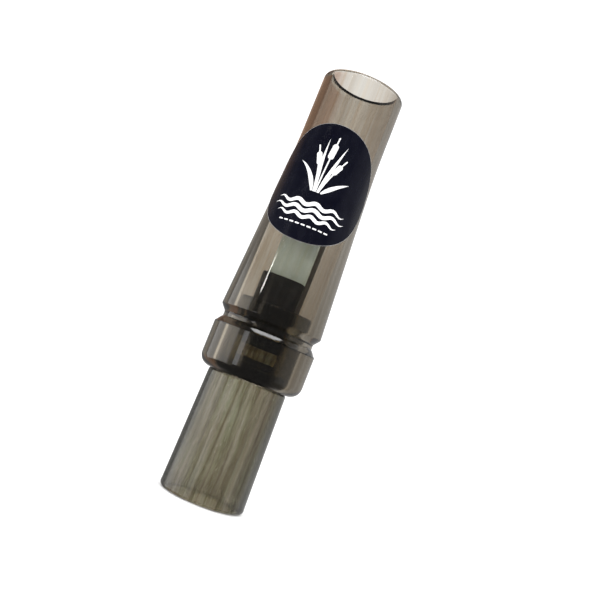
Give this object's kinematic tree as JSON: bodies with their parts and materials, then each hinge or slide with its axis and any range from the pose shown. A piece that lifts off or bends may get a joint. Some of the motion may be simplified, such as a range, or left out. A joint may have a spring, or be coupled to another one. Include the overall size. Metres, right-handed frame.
{
  "type": "duck call",
  "caption": "Clear smoke barrel with a lanyard groove and round label, pushed onto a flared clear insert that holds a tone board, paired reeds and a rubber wedge.",
  "frame": {"origin": "centre of the exhaust rim, on the surface the call stands on", "axes": "+Z along the call's axis from the exhaust rim to the mouth rim; -Y is the side that the reeds, the wedge and the label face; +X to the right when looking along +Y"},
  "size_m": [0.0336, 0.0336, 0.14],
  "materials": {
    "smoke_barrel": "polished transparent smoke",
    "smoke_insert": "transparent olive smoke with flow streaks",
    "board_plastic": "satin green-black moulding",
    "reed_film": "frosted film",
    "black_rubber": "matt black rubber",
    "label_film": "glossy printed film"
  },
  "bodies": {
    "insert": {"insert": "smoke_insert", "tone_board": "board_plastic"},
    "barrel": {"barrel": "smoke_barrel", "label": "label_film"},
    "long_reed": {"long_reed": "reed_film"},
    "short_reed": {"short_reed": "reed_film"},
    "wedge": {"wedge": "black_rubber"}
  },
  "joints": [
    {"name": "barrel_pull", "type": "slide", "parent": "insert", "child": "barrel", "axis": [0, 0, 1], "range_m": [0, 0.08]},
    {"name": "long_reed_flex", "type": "hinge", "parent": "insert", "child": "long_reed", "pos_m": [0, -0.00227, 0.0722], "axis": [-1, 0, 0], "range_deg": [0, 2], "stiffness_Nm_per_rad": 0.015},
    {"name": "short_reed_flex", "type": "hinge", "parent": "insert", "child": "short_reed", "pos_m": [0, -0.00227, 0.0722], "axis": [-1, 0, 0], "range_deg": [0, 2], "stiffness_Nm_per_rad": 0.015},
    {"name": "wedge_pull", "type": "slide", "parent": "insert", "child": "wedge", "axis": [0, 0, 1], "range_m": [0, 0.024]}
  ],
  "couplings": [
    {"joint": "short_reed_flex", "follows": "long_reed_flex", "ratio": 1}
  ]
}
